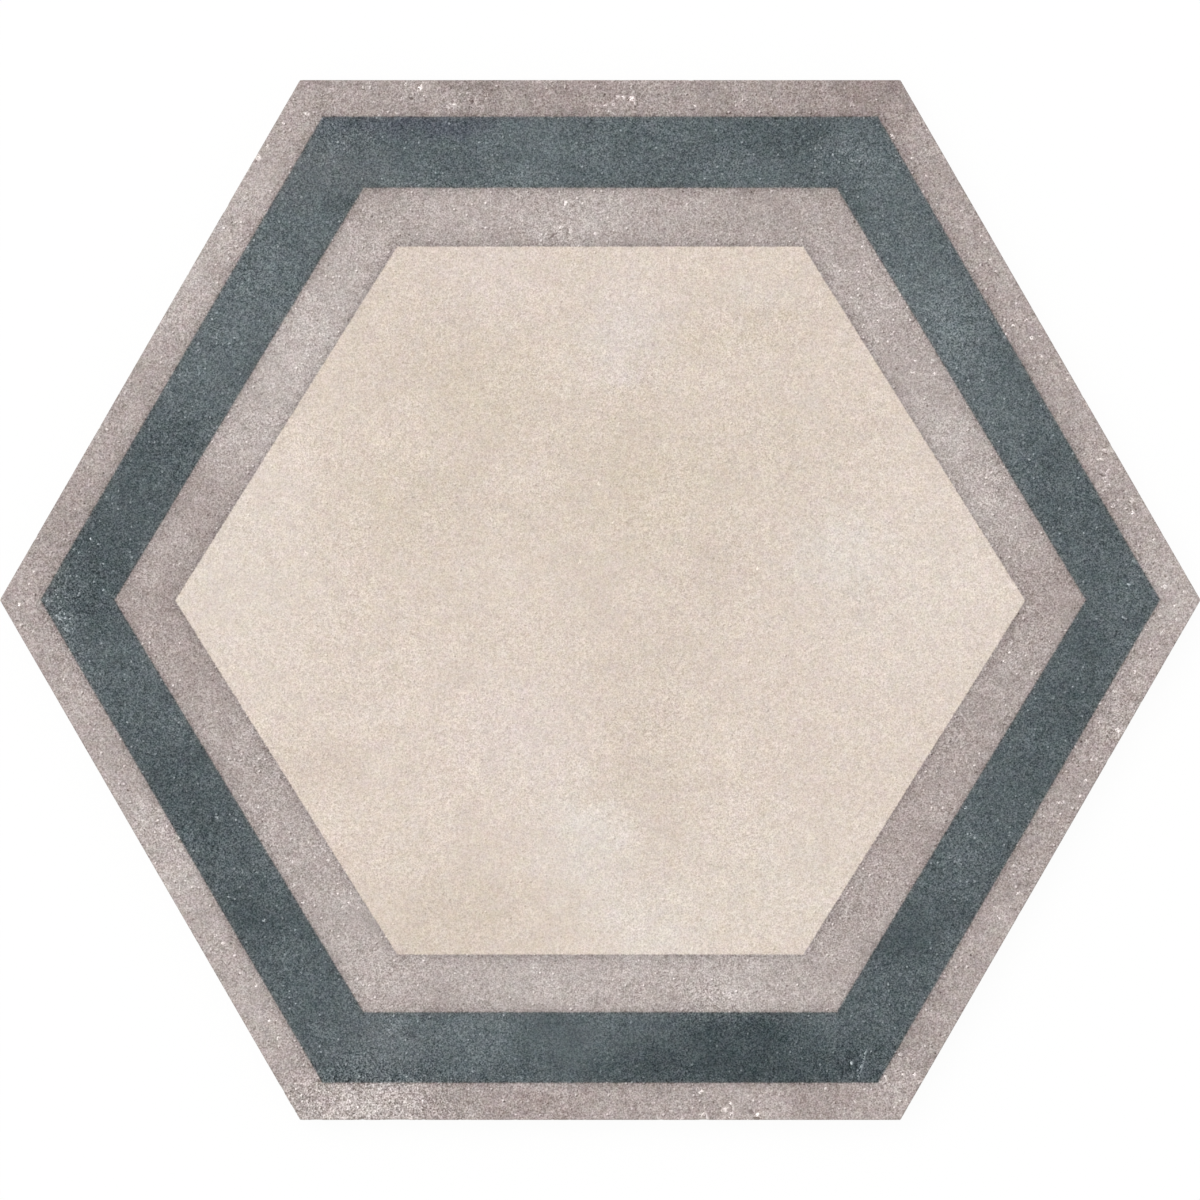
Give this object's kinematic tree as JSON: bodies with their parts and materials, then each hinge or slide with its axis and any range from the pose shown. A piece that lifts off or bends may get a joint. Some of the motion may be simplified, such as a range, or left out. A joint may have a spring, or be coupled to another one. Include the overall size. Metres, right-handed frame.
{
  "type": "hexagon floor tile",
  "caption": "Flat hexagonal ceramic floor tile with a small arris round its face, a skirt that draws in below, and a honeycomb keyed back.",
  "frame": {"origin": "centre of the back, on the plane that its ribs and rim stand on", "axes": "+Z out of the walking face, along the tile's six-fold axis; X through two opposite corners; Y square to two opposite sides"},
  "size_m": [0.2652, 0.23, 0.0095],
  "materials": {
    "glazed_porcelain": "matt glazed face printed with concentric hexagon bands, unglazed porcelain sides and back"
  },
  "bodies": {
    "root": {"hexagon_tile": "glazed_porcelain"}
  },
  "joints": []
}
